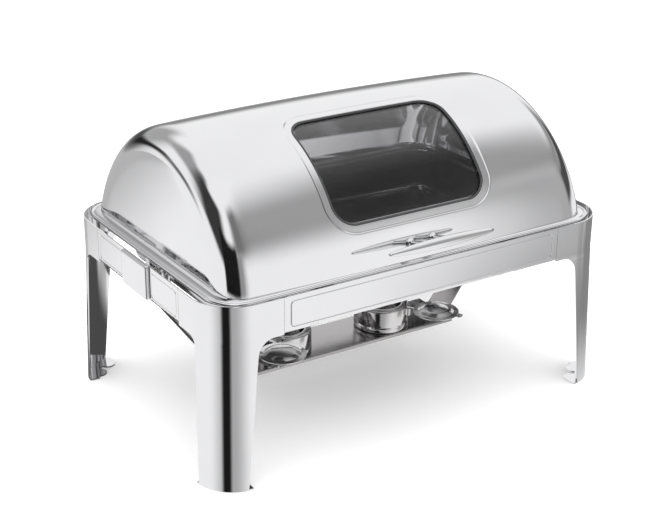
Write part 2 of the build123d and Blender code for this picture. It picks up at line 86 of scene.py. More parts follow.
LID_HALF_X = shell_high.x
LID_TOP = shell_high.z
LID_MOUTH = shell_low.z
BARREL_Z = 218.0            # the height of the barrel's centre line
BARREL_RADIUS = LID_TOP - BARREL_Z
BARREL_CROWN = 6.5          # how much smaller the barrel's radius is at its ends
LID_SHEET = 1.0
RIM_HALF_X = rim_high.x
RIM_HALF_Y = (rim_high.y - rim_low.y) / 2
RIM_CORNER = 45.0


# ---- materials
def new_material(name):
    """An empty node material with its principled shader."""
    material = bpy.data.materials.new(name)
    material.use_nodes = True
    shader = material.node_tree.nodes["Principled BSDF"]
    return material, material.node_tree, shader


def add(tree, kind, **settings):
    """A node with some of its properties and inputs set."""
    node = tree.nodes.new(kind)
    for key, value in settings.items():
        if key in node.inputs:
            node.inputs[key].default_value = value
        else:
            setattr(node, key, value)
    return node


def noise(tree, scale, detail=2.0, stretch=(1, 1, 1)):
    """Noise in the object's own space, stretched along its axes."""
    place = add(tree, "ShaderNodeTexCoord")
    mapping = add(tree, "ShaderNodeMapping", Scale=stretch)
    texture = add(tree, "ShaderNodeTexNoise", Scale=scale, Detail=detail)
    tree.links.new(place.outputs["Object"], mapping.inputs["Vector"])
    tree.links.new(mapping.outputs["Vector"], texture.inputs["Vector"])
    return texture.outputs["Fac"]


def spread(tree, source, low, high):
    """A noise value spread between two numbers."""
    node = add(tree, "ShaderNodeMapRange")
    node.inputs["From Min"].default_value = 0.3
    node.inputs["From Max"].default_value = 0.7
    node.inputs["To Min"].default_value = low
    node.inputs["To Max"].default_value = high
    tree.links.new(source, node.inputs["Value"])
    return node.outputs["Result"]


def tint(tree, source, dark, light):
    """A noise value as a colour between two colours."""
    node = add(tree, "ShaderNodeMix", data_type="RGBA")
    node.inputs["A"].default_value = (*dark, 1)
    node.inputs["B"].default_value = (*light, 1)
    tree.links.new(source, node.inputs["Factor"])
    return node.outputs["Result"]


def bump(tree, source, distance, below=None):
    """A bump of a height in metres."""
    node = add(tree, "ShaderNodeBump", Strength=1.0, Distance=distance)
    tree.links.new(source, node.inputs["Height"])
    if below is not None:
        tree.links.new(below, node.inputs["Normal"])
    return node.outputs["Normal"]


def steel(name, dark, light, rough_low, rough_high, grain=(40, 40, 40), wave=0.00001, scratch=0.0000003):
    """Stainless steel: cloudy polish, fine scratches along the grain and slightly wavy sheet.

    Grain is how finely the scratches repeat along each axis; wave and scratch are depths in metres.
    """
    material, tree, shader = new_material(name)
    shader.inputs["Metallic"].default_value = 1.0
    cloud = noise(tree, 14, 4)
    tree.links.new(tint(tree, cloud, dark, light), shader.inputs["Base Color"])
    lines = noise(tree, 30, 3, grain)
    tree.links.new(spread(tree, lines, rough_low, rough_high), shader.inputs["Roughness"])
    wavy = bump(tree, noise(tree, 9, 1), wave)
    fine = bump(tree, lines, scratch, wavy)
    tree.links.new(fine, shader.inputs["Normal"])
    return material


POLISHED = steel("polished_steel", (0.76, 0.76, 0.775), (0.82, 0.82, 0.83), 0.055, 0.075, (3, 3, 3))
HANDLE_STEEL = steel("handle_steel", (0.74, 0.74, 0.75), (0.80, 0.80, 0.81), 0.07, 0.10, (6, 6, 6))
SATIN = steel("satin_steel", (0.60, 0.60, 0.61), (0.66, 0.66, 0.67), 0.13, 0.18, (1, 8, 8))
# A darker copy of the steel: painted shade for the parts that lie in shade under the lid and under the stand.
SHADED_STEEL = steel(
    "painted_shade_steel", (0.36, 0.35, 0.35), (0.42, 0.41, 0.41), 0.15, 0.21, (1, 2, 2), 0.000003, 0.0000001
)
BURNER = steel("burner_steel", (0.60, 0.59, 0.59), (0.68, 0.67, 0.67), 0.09, 0.14, (3, 3, 20))
FASTENER = steel("fastener_steel", (0.5, 0.5, 0.5), (0.62, 0.62, 0.62), 0.2, 0.36)


def rubber(name, dark, light):
    """Moulded silicone rubber: slightly dusty, with a fine matt skin."""
    material, tree, shader = new_material(name)
    tree.links.new(tint(tree, noise(tree, 120, 4), dark, light), shader.inputs["Base Color"])
    tree.links.new(spread(tree, noise(tree, 300, 2), 0.42, 0.6), shader.inputs["Roughness"])
    tree.links.new(bump(tree, noise(tree, 900, 2), 0.00003), shader.inputs["Normal"])
    return material


RUBBER = rubber("gasket_rubber", (0.035, 0.035, 0.036), (0.06, 0.06, 0.062))
PAD = rubber("pad_silicone", (0.09, 0.09, 0.09), (0.13, 0.13, 0.13))
NYLON = rubber("bush_plastic", (0.72, 0.71, 0.67), (0.80, 0.79, 0.75))


def tinted_glass():
    """Grey tempered glass, with faint smears in its gloss."""
    material, tree, shader = new_material("window_glass")
    grey = tint(tree, noise(tree, 5, 3), (0.80, 0.80, 0.81), (0.84, 0.84, 0.85))
    tree.links.new(grey, shader.inputs["Base Color"])
    tree.links.new(spread(tree, noise(tree, 25, 3), 0.0, 0.03), shader.inputs["Roughness"])
    shader.inputs["Transmission Weight"].default_value = 1.0
    shader.inputs["IOR"].default_value = 1.45
    return material


GLASS = tinted_glass()


# ---- mesh tools
def finish_piece(name, mesh, material, body, slot, *replaced):
    """Put a mesh in the scene as a piece that stands for CAD nodes."""
    mesh.name = name
    mesh.materials.append(material)
    piece = bpy.data.objects.new(name, mesh)
    bpy.context.scene.collection.objects.link(piece)
    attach(piece, body)
    if replaced:
        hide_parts(*replaced)
    return piece


def to_frame(point):
    """A point in millimetres about the plan centre, as metres in the frame."""
    return (Vector(point) + CENTRE) * MM


def steps(start, end, count):
    """Evenly spaced values from start to end, both included."""
    return [start + (end - start) * i / count for i in range(count + 1)]


def smooth(value, low, high):
    """A smooth step from 0 at low to 1 at high."""
    t = min(1.0, max(0.0, (value - low) / (high - low)))
    return t * t * (3 - 2 * t)


def inside(loop, u, v):
    """Whether a point lies inside a closed outline."""
    hit = False
    before = loop[-1]
    for here in loop:
        if (here[1] > v) != (before[1] > v):
            if u < (before[0] - here[0]) * (v - here[1]) / (before[1] - here[1]) + here[0]:
                hit = not hit
        before = here
    return hit


def rounded(half_u, half_v, radius, corner=10, side=14):
    """A closed rounded rectangle about the origin, anticlockwise."""
    loop = []
    for quarter, (su, sv) in enumerate(((1, 1), (-1, 1), (-1, -1), (1, -1))):
        middle = (su * (half_u - radius), sv * (half_v - radius))
        for angle in steps(90 * quarter, 90 * quarter + 90, corner):
            turn = math.radians(angle)
            loop.append((middle[0] + radius * math.cos(turn), middle[1] + radius * math.sin(turn)))
    # Split the straight sides so that a bend along them has points to follow.
    full = []
    for i, (u, v) in enumerate(loop):
        after_u, after_v = loop[(i + 1) % len(loop)]
        full.append((u, v))
        if (i + 1) % (corner + 1) == 0:
            full += [(u + (after_u - u) * (t / side), v + (after_v - v) * (t / side)) for t in range(1, side)]
    return full


def distance_to_rounded(u, v, half_u, half_v, radius):
    """Signed distance to a rounded rectangle's edge: negative inside."""
    du = abs(u) - half_u + radius
    dv = abs(v) - half_v + radius
    outside = math.hypot(max(du, 0), max(dv, 0))
    return outside + min(max(du, dv), 0) - radius


def cut_sheet(loops, keep, grid_u=(), grid_v=(), gap=0.6):
    """Flat triangles between outlines and feature lines, where keep(u, v) says the sheet is."""
    points = []
    edges = []
    for loop in loops:
        first = len(points)
        points += [Vector(p) for p in loop]
        edges += [(first + i, first + (i + 1) % len(loop)) for i in range(len(loop))]
    near = KDTree(len(points))
    for i, p in enumerate(points):
        near.insert((p.x, p.y, 0), i)
    near.balance()
    for u in grid_u:
        for v in grid_v:
            if near.find((u, v, 0))[2] >= gap and keep(u, v):
                points.append(Vector((u, v)))
    verts, _, faces, *_ = delaunay_2d_cdt(points, edges, [], 0, 1e-7)
    kept = []
    for face in faces:
        middle = sum((verts[i] for i in face), Vector((0, 0))) / len(face)
        if keep(*middle):
            kept.append(face)
    used = sorted({i for face in kept for i in face})
    place = {old: new for new, old in enumerate(used)}
    return [verts[i] for i in used], [[place[i] for i in face] for face in kept]


def bent_sheet(flat, shape, thickness, hand=1):
    """A thin closed shell: the outer face is shape(u, v), the inner one lies a sheet's thickness behind.

    The normals are worked out from the shape itself, so polished sheet reflects cleanly; hand is -1
    where the shape is a mirror image.
    """
    verts, faces = flat
    if hand < 0:
        faces = [list(reversed(face)) for face in faces]
    small = 0.05
    outer = []
    normals = []
    for p in verts:
        place = shape(p.x, p.y)
        along_u = shape(p.x + small, p.y) - shape(p.x - small, p.y)
        along_v = shape(p.x, p.y + small) - shape(p.x, p.y - small)
        outer.append(place)
        normals.append(along_u.cross(along_v).normalized() * hand)
    inner = [p - n * thickness for p, n in zip(outer, normals)]
    count = len(outer)
    rim = {}
    for face in faces:
        for a, b in zip(face, face[1:] + face[:1]):
            rim[(a, b)] = rim.get((a, b), 0) + 1
    border = [(a, b) for a, b in rim if (b, a) not in rim]
    all_faces = [tuple(f) for f in faces]
    all_faces += [tuple(i + count for i in reversed(f)) for f in faces]
    all_faces += [(b, a, a + count, b + count) for a, b in border]
    mesh = bpy.data.meshes.new("sheet")
    mesh.from_pydata([to_frame(p) for p in outer + inner], [], all_faces)
    loops = []
    for i, face in enumerate(all_faces):
        if i < len(faces):
            loops += [normals[j] for j in face]
        elif i < 2 * len(faces):
            loops += [-normals[j - count] for j in face]
        else:
            b, a = face[0], face[1]
            side = (outer[b] - outer[a]).cross(normals[a])
            loops += [side.normalized()] * 4
    mesh.shade_smooth()
    mesh.normals_split_custom_set(loops)
    return mesh


def solid_mesh(verts, faces, sharp=35):
    """A closed mesh, smooth except where its faces turn by more than an angle."""
    mesh = bpy.data.meshes.new("solid")
    mesh.from_pydata([to_frame(p) for p in verts], [], faces)
    work = bmesh.new()
    work.from_mesh(mesh)
    bmesh.ops.remove_doubles(work, verts=work.verts, dist=1e-6)
    bmesh.ops.recalc_face_normals(work, faces=work.faces)
    work.to_mesh(mesh)
    work.free()
    mesh.shade_smooth()
    mesh.set_sharp_from_angle(angle=math.radians(sharp))
    return mesh


def ring_loft(rings, closed=True, sharp=35):
    """Skin a row of closed rings with the same number of points; the last joins the first if closed."""
    size = len(rings[0])
    verts = [p for ring in rings for p in ring]
    faces = []
    count = len(rings)
    for r in range(count if closed else count - 1):
        low = r * size
        high = ((r + 1) % count) * size
        for i in range(size):
            j = (i + 1) % size
            faces.append((low + i, low + j, high + j, high + i))
    if not closed:
        faces.append(tuple(reversed(range(size))))
        faces.append(tuple((count - 1) * size + i for i in range(size)))
    return solid_mesh(verts, faces, sharp)


def turned(profile, place, segments):
    """A closed profile of (radius, height) turned about the Z axis of a placing matrix."""
    rings = []
    for i in range(segments):
        turn = 2 * math.pi * i / segments
        rings.append([place @ Vector((r * math.cos(turn), r * math.sin(turn), z)) for r, z in profile])
    return ring_loft(rings)


def arc_points(middle, radius, start, end, count=8):
    """Points of an arc, its angles in degrees."""
    return [
        (middle[0] + radius * math.cos(math.radians(a)), middle[1] + radius * math.sin(math.radians(a)))
        for a in steps(start, end, count)
    ]


def round_corner(before, corner, after, radius, count):
    """The points of a round in place of a corner."""
    here = Vector(corner)
    back = (Vector(before) - here).normalized()
    on = (Vector(after) - here).normalized()
    half = math.acos(back.dot(on)) / 2
    middle = here + (back + on).normalized() * (radius / math.sin(half))
    start = here + back * (radius / math.tan(half)) - middle
    end = here + on * (radius / math.tan(half)) - middle
    turn = math.atan2(start.x * end.y - start.y * end.x, start.dot(end))
    first = math.atan2(start.y, start.x)
    return [
        (middle.x + radius * math.cos(first + turn * t), middle.y + radius * math.sin(first + turn * t))
        for t in steps(0, 1, count)
    ]


def bent_path(corners, radius):
    """An open line through corners with every bend rounded, as points."""
    line = [tuple(corners[0])]
    for before, here, after in zip(corners, corners[1:], corners[2:]):
        line += round_corner(before, here, after, radius, 8)
    return line + [tuple(corners[-1])]


def along(line):
    """The running length at each point of a line."""
    total = [0.0]
    for a, b in zip(line, line[1:]):
        total.append(total[-1] + math.dist(a, b))
    return total


def thick_outline(line, thickness):
    """A closed outline of a line drawn with a sheet's thickness to its left."""
    left = []
    for i, here in enumerate(line):
        back = Vector(here) - Vector(line[i - 1]) if i else None
        on = Vector(line[i + 1]) - Vector(here) if i + 1 < len(line) else None
        way = (back.normalized() if back else Vector((0, 0))) + (on.normalized() if on else Vector((0, 0)))
        way.normalize()
        left.append((here[0] - way.y * thickness, here[1] + way.x * thickness))
    return list(line) + left[::-1]


def extruded(outline, place, depth):
    """A closed outline pushed out along Z of a placing matrix, both ways by half the depth."""
    low = [place @ Vector((x, y, -depth / 2)) for x, y in outline]
    high = [place @ Vector((x, y, depth / 2)) for x, y in outline]
    return ring_loft([low, high], False, 30)


def joined(pieces):
    """One mesh out of several."""
    work = bmesh.new()
    for piece in pieces:
        work.from_mesh(piece)
    mesh = bpy.data.meshes.new("joined")
    work.to_mesh(mesh)
    work.free()
    mesh.shade_smooth()
    mesh.set_sharp_from_angle(angle=math.radians(35))
    return mesh


def soften(piece, width=0.3):
    """Take the sharpness off a piece's edges."""
    bevel = piece.modifiers.new("worn_edges", "BEVEL")
    bevel.width = width * MM
    bevel.segments = 2
    bevel.limit_method = "ANGLE"
    bevel.angle_limit = math.radians(40)
    bevel.use_clamp_overlap = True
    bevel.harden_normals = True
    return piece


# ---- lid skin
END_EASE = 50.0             # how far the rounded end reaches along the barrel and down the cap
END_POWER = 3.2             # 2 is a plain round, more is a tighter corner with a softer start
END_TURN = 80.0             # the length of u that runs over the rounded end
END_LEAN = 0.07             # how far the ends lean in for every unit of height
LEAN_REACH = 90.0           # how far from the end the lean fades out
WINDOW_ANGLE = 52.5
WINDOW_HALF_X = 121.0
WINDOW_HALF_ARC = 88.2
WINDOW_CORNER = 32.0
SURROUND = 13.0             # the width of the pressed frame round the window
SURROUND_DEPTH = 1.7
LIP_DEPTH = 2.0             # the edge turned in against the gasket


def crown(x):
    """The barrel's radius along its length, before the rounded ends."""
    return BARREL_RADIUS - BARREL_CROWN * (x / LID_HALF_X) ** 2


CORNER_X = LID_HALF_X - END_EASE
CORNER_R = crown(LID_HALF_X) - END_EASE
MOUTH_RISE = LID_MOUTH - BARREL_Z
U_END = CORNER_X + END_TURN + CORNER_R - MOUTH_RISE


def lid_profile(u):
    """The barrel's outline at u from its middle: (x, radius). u runs over the crown, the end and the cap."""
    hand = -1 if u < 0 else 1
    u = abs(u)
    if u <= CORNER_X:
        return hand * u, crown(u)
    turn = (u - CORNER_X) / END_TURN
    if turn < 1:
        # A superellipse quarter, from the crown's own slope to the flat cap.
        angle = turn * math.pi / 2
        out = math.sin(angle) ** (2 / END_POWER)
        up = math.cos(angle) ** (2 / END_POWER)
        x = CORNER_X + END_EASE * out
        return hand * x, CORNER_R + (crown(x) - CORNER_R) * up
    return hand * LID_HALF_X, CORNER_R - (u - CORNER_X - END_TURN)


def lid_point(u, v, inset=0.0):
    """A point of the barrel: u along its outline, v the angle above the front, in degrees."""
    x, radius = lid_profile(u)
    turn = math.radians(v)
    radius -= inset
    height = BARREL_Z + radius * math.sin(turn)
    lean = END_LEAN * (height - LID_MOUTH) * smooth(abs(x), LID_HALF_X - LEAN_REACH, LID_HALF_X)
    return Vector((x - math.copysign(lean, x), -radius * math.cos(turn), height))


def surround_depth(x, v):
    """How deep the pressed frame round the window lies at a point of the crown."""
    arc = math.radians(v - WINDOW_ANGLE) * BARREL_RADIUS
    away = distance_to_rounded(x, arc, WINDOW_HALF_X, WINDOW_HALF_ARC, WINDOW_CORNER)
    step = smooth(SURROUND - away, 0, 3.5)
    slope = max(0.0, min(1.0, (SURROUND - away) / SURROUND))
    return SURROUND_DEPTH * (0.75 * step + 0.25 * slope) + LIP_DEPTH * smooth(1.2 - away, 0, 1.2) ** 2


def skin_point(u, v):
    """The polished outer skin with its pressed window frame."""
    if abs(u) > CORNER_X:
        return lid_point(u, v)
    return lid_point(u, v, surround_depth(u, v))


def window_loop(grow):
    """The window's outline grown by an amount, in (x, angle)."""
    loop = rounded(WINDOW_HALF_X + grow, WINDOW_HALF_ARC + grow, WINDOW_CORNER + grow, 16, 30)
    return [(u, WINDOW_ANGLE + math.degrees(v / BARREL_RADIUS)) for u, v in loop]


def mouth_angle(u):
    """The angle at which the lid's mouth cuts the barrel."""
    radius = lid_profile(u)[1]
    return math.degrees(math.asin(min(1.0, MOUTH_RISE / radius)))


def lid_columns():
    """The values of u for the lid's grid: even over the crown and closer over the rounded ends."""
    side = steps(0, CORNER_X, 60)[:-1]
    side += steps(CORNER_X, CORNER_X + END_TURN, 44)[:-1]
    side += steps(CORNER_X + END_TURN, U_END, 12)
    return [-u for u in reversed(side[1:])] + side


def make_lid_skin():
    """The barrel skin from mouth to mouth, with the window cut out of its pressed frame."""
    columns = lid_columns()
    low = [(u, mouth_angle(u)) for u in columns]
    high = [(u, 180 - mouth_angle(u)) for u in reversed(columns[1:-1])]
    hole = window_loop(0)
    frame_lines = [window_loop(g) for g in (0.4, 0.8, 1.2, 3, 6, 9.5, 10.4, 11.2, 12, 13, 14)]

    def keep(u, v):
        edge = mouth_angle(u)
        return edge < v < 180 - edge and not inside(hole, u, v)

    flat = cut_sheet([low + high, hole, *frame_lines], keep, columns, steps(15, 165, 100), 0.45)
    return bent_sheet(flat, skin_point, LID_SHEET)


finish_piece("lid_skin", make_lid_skin(), POLISHED, "lid", "polished_steel", "lid_shell")


# ---- lid window
GLASS_DEPTH = 4.2           # how far the glass lies under the barrel's surface
GLASS_THICK = 3.6
GLASS_GROWTH = 9            # how far the glass reaches behind the window's edge


def make_glass():
    """The bowed glass behind the window."""
    edge = window_loop(GLASS_GROWTH)
    columns = steps(-WINDOW_HALF_X - GLASS_GROWTH, WINDOW_HALF_X + GLASS_GROWTH, 30)
    rows = steps(WINDOW_ANGLE - 28, WINDOW_ANGLE + 28, 24)
    flat = cut_sheet([edge], lambda u, v: inside(edge, u, v), columns, rows, 2.0)
    return bent_sheet(flat, lambda u, v: lid_point(u, v, GLASS_DEPTH), GLASS_THICK)


def window_ring(section):
    """A strip round the window from a closed section of (growth of the outline, depth under the barrel)."""
    rings = [[lid_point(u, v, depth) for u, v in window_loop(grow)] for grow, depth in section]
    return ring_loft(rings)


GASKET_SECTION = [
    (7, 2.75), (0.4, 2.75), (0.0, 2.0), (-0.5, 1.55), (-1.2, 1.45), (-1.9, 1.7), (-2.4, 2.3), (-2.6, 3.1),
    (-2.4, GLASS_DEPTH), (7, GLASS_DEPTH),
]
RETAINER_SECTION = [
    (-4.0, 7.9), (-3.6, 8.8), (15.5, 8.8), (16.2, 8.2), (16.2, 1.4), (15.2, 1.4), (15.2, 7.8), (9.5, 7.8),
]
finish_piece("window_pane", make_glass(), GLASS, "lid", "window_glass", "window_glass")
finish_piece("window_seal", window_ring(GASKET_SECTION), RUBBER, "lid", "gasket_rubber", "window_gasket")
finish_piece("window_frame", window_ring(RETAINER_SECTION), SATIN, "lid", "satin_steel", "window_retainer")


# ---- lid rim
def rectangle_ring(half_x, half_y, radius, z, corner=14, side=6):
    """A rounded rectangle at a height, as 3-D points."""
    return [Vector((x, y, z)) for x, y in rounded(half_x, half_y, radius, corner, side)]


def make_rim():
    """The flat flange round the lid's mouth, rolled over into a bead at its edge."""
    top = LID_MOUTH
    bead = 3.0
    section = [(-18, top - 1.5), (-18, top), (-7.4, top), (-6.8, top - 0.25)]
    section += [(-6.2, top - 0.8), (-5.6, top - 0.95)]
    section += arc_points((-bead, top - bead), bead, 140, -150, 22)
    section += [(-5.0, top - 4.0), (-5.0, top - 2.2), (-5.8, top - 1.6), (-8, top - 1.5)]
    rings = [rectangle_ring(RIM_HALF_X + o, RIM_HALF_Y + o, RIM_CORNER + o, z, 18) for o, z in section]
    return ring_loft(rings, True, 50)


finish_piece("lid_rim", make_rim(), POLISHED, "lid", "polished_steel", "lid_rim_frame")


# ---- handle
HANDLE = Vector((0, (grip_low.y + grip_high.y) / 2 - CENTRE_Y, (grip_low.z + grip_high.z) / 2))
HANDLE_HALF = grip_high.x
HANDLE_RADIUS = (grip_high.z - grip_low.z) / 2
HANDLE_RISE = math.atan2(HANDLE.z - BARREL_Z, -HANDLE.y)
HANDLE_REACH = math.hypot(HANDLE.z - BARREL_Z, HANDLE.y)
POST_X = 18.0


def make_grip():
    """A cast spindle with a soft ridge along its front and back."""
    tip = 3.0
    power = 1.55        # 2 is round, and 1 is a diamond
    lean = HANDLE_RISE * 0.4
    rings = []
    for t in steps(-90, 90, 72):
        x = HANDLE_HALF * math.sin(math.radians(t))
        share = x / HANDLE_HALF
        swell = tip + (HANDLE_RADIUS - tip) * (1 - share * share)
        blunt = max(0.02, 1 - abs(share) ** 40) ** 0.5
        ring = []
        for a in range(48):
            turn = 2 * math.pi * a / 48
            c, s = math.cos(turn), math.sin(turn)
            reach = swell * blunt / (abs(c) ** power + abs(s) ** power) ** (1 / power)
            # The ridge points out along the posts, and the section is a little deeper than it is high.
            out, up = reach * c, reach * s * 0.92
            ring.append(HANDLE + Vector((
                x, -out * math.cos(lean) + up * math.sin(lean), out * math.sin(lean) + up * math.cos(lean)
            )))
        rings.append(ring)
    return ring_loft(rings, False, 60)


def post_place(x):
    """The place of a handle post: Z looks out from the barrel's centre line through the grip."""
    return Matrix.Translation((x, 0, BARREL_Z)) @ Matrix.Rotation(math.pi / 2 - HANDLE_RISE, 4, "X")


def make_posts():
    """Two turned posts with flared feet on the lid."""
    foot = BARREL_RADIUS - 0.6
    top = HANDLE_REACH - 4
    section = [(0, foot), (8, foot), (8, foot + 1.6), (7.2, foot + 2.4)]
    section += arc_points((9.5, foot + 7.2), 5.0, -118, -180, 8)
    section += [(4.5, foot + 12), (4.5, top - 5), (5.2, top - 1.5), (5.6, top), (0, top)]
    return joined([turned(section, post_place(x), 40) for x in (-POST_X, POST_X)])


finish_piece("handle_bar", make_grip(), HANDLE_STEEL, "lid", "handle_steel", "handle_grip")
finish_piece("handle_stems", make_posts(), HANDLE_STEEL, "lid", "handle_steel", "handle_posts")


# ---- legs
FRONT_ARCH = (278.0, 257.5, 24.0)   # half opening at the floor, at the band, and its corner radius
SIDE_ARCH = (171.0, 161.0, 13.0)
CORNER_MIDDLE = (FRAME_HALF_X - FRAME_CORNER, FRAME_HALF_Y - FRAME_CORNER)
FOOT_PLATE = 2.0
FLAT_LONG = CORNER_MIDDLE[0] - FRONT_SEAM_X
QUARTER = FRAME_CORNER * math.pi / 2
FLAT_END = CORNER_MIDDLE[1] - SIDE_SEAM_Y
LEG_GIRTH = FLAT_LONG + QUARTER + FLAT_END


def leg_plan(s):
    """The leg sheet's outline in plan at a length s from the long side's seam."""
    if s < FLAT_LONG:
        return FRONT_SEAM_X + s, FRAME_HALF_Y
    if s < FLAT_LONG + QUARTER:
        turn = math.pi / 2 - (s - FLAT_LONG) / FRAME_CORNER
        return (
            CORNER_MIDDLE[0] + FRAME_CORNER * math.cos(turn), CORNER_MIDDLE[1] + FRAME_CORNER * math.sin(turn)
        )
    return FRAME_HALF_X, CORNER_MIDDLE[1] - (s - FLAT_LONG - QUARTER)


def lean_at(z):
    """How far a leg leans out at a height: nothing in the band and SPLAY at the floor, with a soft knee."""
    drop = max(0.0, BAND_BOTTOM + 4 - z)
    return SPLAY * drop * min(1.0, drop / 8) / (BAND_BOTTOM + 4)


def length_at_x(x):
    """The length s where the leg sheet reaches an x, on the long side or round the corner."""
    if x < CORNER_MIDDLE[0]:
        return x - FRONT_SEAM_X
    return FLAT_LONG + FRAME_CORNER * math.asin(min(1.0, (x - CORNER_MIDDLE[0]) / FRAME_CORNER))


def length_at_y(y):
    """The length s where the leg sheet reaches a y, on the end or round the corner."""
    if y < CORNER_MIDDLE[1]:
        return FLAT_LONG + QUARTER + CORNER_MIDDLE[1] - y
    return FLAT_LONG + QUARTER - FRAME_CORNER * math.asin(min(1.0, (y - CORNER_MIDDLE[1]) / FRAME_CORNER))


def arch_edge(arch, seam):
    """The edge of the opening between two legs, from the seam to the floor, as (distance, height)."""
    foot, band, radius = arch
    line = [(seam, BAND_BOTTOM)]
    line += round_corner((seam, BAND_BOTTOM), (band, BAND_BOTTOM), (foot, 0), radius, 14)
    start = line[-1]
    line += [(start[0] + (foot - start[0]) * t, start[1] * (1 - t)) for t in steps(0, 1, 24)[1:]]
    return line


def leg_outline():
    """The leg's flat outline as (length, height)."""
    long_edge = [(length_at_x(x - lean_at(z)), z) for x, z in arch_edge(FRONT_ARCH, FRONT_SEAM_X)]
    end_edge = [(length_at_y(y - lean_at(z)), z) for y, z in arch_edge(SIDE_ARCH, SIDE_SEAM_Y)]
    across = [(s, 0) for s in steps(long_edge[-1][0], end_edge[-1][0], 24)[1:-1]]
    top = [(s, FRAME_TOP) for s in steps(LEG_GIRTH, 0, 40)]
    return long_edge + across + end_edge[::-1] + top


def foot_flat():
    """The foot: a web that follows the corner, and a rounded flap turned in from each flat side."""
    middle = (CORNER_MIDDLE[0] + SPLAY, CORNER_MIDDLE[1] + SPLAY)
    web_out = arc_points(middle, FRAME_CORNER - 0.6, 84, 6, 28)
    web = web_out + arc_points(middle, FRAME_CORNER - 15, 6, 84, 20)
    end_flap = [(x + 315, y + 181) for x, y in rounded(22, 11.5, 11.49, 12, 2)]
    long_flap = [(x + 281.5, y + 212) for x, y in rounded(10.5, 22, 10.49, 12, 2)]
    clip = [
        (x + SPLAY, y + SPLAY)
        for x, y in rounded(FRAME_HALF_X - 0.6, FRAME_HALF_Y - 0.6, FRAME_CORNER - 0.6, 40, 2)
    ]

    def keep(u, v):
        return inside(clip, u, v) and (inside(web, u, v) or inside(end_flap, u, v) or inside(long_flap, u, v))

    return cut_sheet([web, end_flap, long_flap, clip], keep)


def make_leg(sx, sy):
    """One leg sheet with its foot, mirrored to a corner of the stand."""
    hand = -sx * sy
    outline = leg_outline()

    def shape(s, z):
        x, y = leg_plan(s)
        lean = lean_at(z)
        return Vector((sx * (x + lean), sy * (y + lean), z))

    columns = steps(0, FLAT_LONG, 4) + steps(FLAT_LONG, FLAT_LONG + QUARTER, 44)[1:-1]
    columns += steps(FLAT_LONG + QUARTER, LEG_GIRTH, 4)
    rows = steps(3, 195, 12) + steps(197, 213, 16) + steps(220, 250, 4)
    flat = cut_sheet([outline], lambda u, v: inside(outline, u, v), columns, rows, 0.8)
    sheet = bent_sheet(flat, shape, SHEET, hand)
    foot = bent_sheet(foot_flat(), lambda x, y: Vector((sx * x, sy * y, FOOT_PLATE)), FOOT_PLATE, -hand)
    return sheet, foot


for end, sx in (("left", -1), ("right", 1)):
    for side, sy in (("front", -1), ("rear", 1)):
        leg_sheet, foot_mesh = make_leg(sx, sy)
        leg = f"leg_{side}_{end}"
        finish_piece(f"{leg}_sheet", leg_sheet, POLISHED, "stand", "polished_steel", leg)
        soften(finish_piece(f"foot_{side}_{end}", foot_mesh, POLISHED, "stand", "polished_steel"))


# ---- aprons
BEND = 6.0
PANEL_LOW = 212.0
PANEL_HIGH = 249.5
PANEL_CORNER = 7.0
PANEL_LINE = 1.2            # half the width of the pressed line
PANEL_DEPTH = 0.8
PANEL_MIDDLE = (PANEL_LOW + PANEL_HIGH) / 2
PANEL_HALF = (PANEL_HIGH - PANEL_LOW) / 2
BEND_TURN = BEND * math.pi / 2


def panel_depth(u, v, panels):
    """How deep the pressed lines lie at a point of an apron."""
    deep = 0.0
    for middle, half in panels:
        away = distance_to_rounded(
            u - middle, v - PANEL_MIDDLE,
            half - PANEL_LINE, PANEL_HALF - PANEL_LINE, PANEL_CORNER - PANEL_LINE,
        )
        deep = max(deep, PANEL_DEPTH * (1 - smooth(abs(away), 0.15, PANEL_LINE)))
    return deep


def make_apron(angle, half, face, hem, panels):
    """An apron turned to face a way, its lower edge bent in; v is the height before it is bent."""
    turn = Matrix.Rotation(math.radians(angle), 3, "Z")
    bend_top = BAND_BOTTOM + BEND
    lowest = bend_top - BEND_TURN - (hem - BEND) if hem else BAND_BOTTOM

    def shape(u, v):
        drop = bend_top - v
        if not hem or drop <= 0:
            return turn @ Vector((u, -face + panel_depth(u, v, panels), v))
        if drop < BEND_TURN:
            bent = drop / BEND
            return turn @ Vector((u, -face + BEND - BEND * math.cos(bent), bend_top - BEND * math.sin(bent)))
        return turn @ Vector((u, -face + BEND + drop - BEND_TURN, BAND_BOTTOM))

    def loop(middle, half_width, grow):
        line = rounded(half_width + grow, PANEL_HALF + grow, PANEL_CORNER + grow, 8, 12)
        return [(x + middle, y + PANEL_MIDDLE) for x, y in line]

    lines = [
        loop(middle, half_width, grow)
        for middle, half_width in panels
        for grow in (0.3, 0, -0.45, -0.85, -1.2, -1.55, -1.95, -2.4, -2.7)
    ]
    across = steps(-half, half, 24)
    rows = steps(bend_top - BEND_TURN, bend_top, 10) if hem else []
    outline = [(u, lowest) for u in across] + [(half, v) for v in rows]
    outline += [(u, FRAME_TOP) for u in across[::-1]] + [(-half, v) for v in rows[::-1]]
    rows += [230.0]

    def keep(u, v):
        return abs(u) < half and lowest < v < FRAME_TOP

    return bent_sheet(cut_sheet([outline, *lines], keep, across, rows, 0.5), shape, SHEET)


